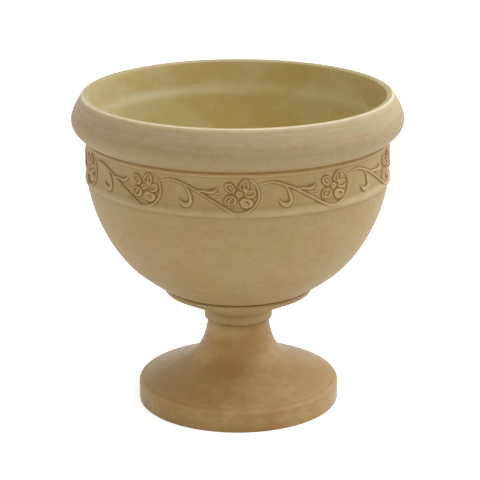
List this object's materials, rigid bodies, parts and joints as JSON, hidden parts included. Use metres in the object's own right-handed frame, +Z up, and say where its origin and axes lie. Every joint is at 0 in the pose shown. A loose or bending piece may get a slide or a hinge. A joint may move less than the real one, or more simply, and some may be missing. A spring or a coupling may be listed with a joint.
{
  "type": "urn planter",
  "caption": "Pedestal urn planter: a hemispherical bowl with a rolled rim and a relief frieze, screwed to a hollow flared foot, with a removable drain plug.",
  "frame": {"origin": "centre of the foot, on the ground", "axes": "+Z up along the urn's axis, -Y towards the front"},
  "size_m": [0.4, 0.4, 0.39],
  "materials": {
    "washed_stone_bowl": "matt stone-effect moulding, aged with a brown wash in the frieze's hollows",
    "washed_stone_pedestal": "matt stone-effect moulding with a slight sheen",
    "screw_steel": "plain stainless steel",
    "plug_rubber": "matt black rubber"
  },
  "bodies": {
    "urn": {"bowl": "washed_stone_bowl", "pedestal": "washed_stone_pedestal", "neck_screw_1": "screw_steel", "neck_screw_2": "screw_steel", "neck_screw_3": "screw_steel", "screw_washer_1": "screw_steel", "screw_washer_2": "screw_steel", "screw_washer_3": "screw_steel"},
    "plug": {"drain_plug": "plug_rubber"}
  },
  "joints": [
    {"name": "plug_pull", "type": "slide", "parent": "urn", "child": "plug", "axis": [0, 0, 1], "range_m": [0, 0.03]}
  ]
}
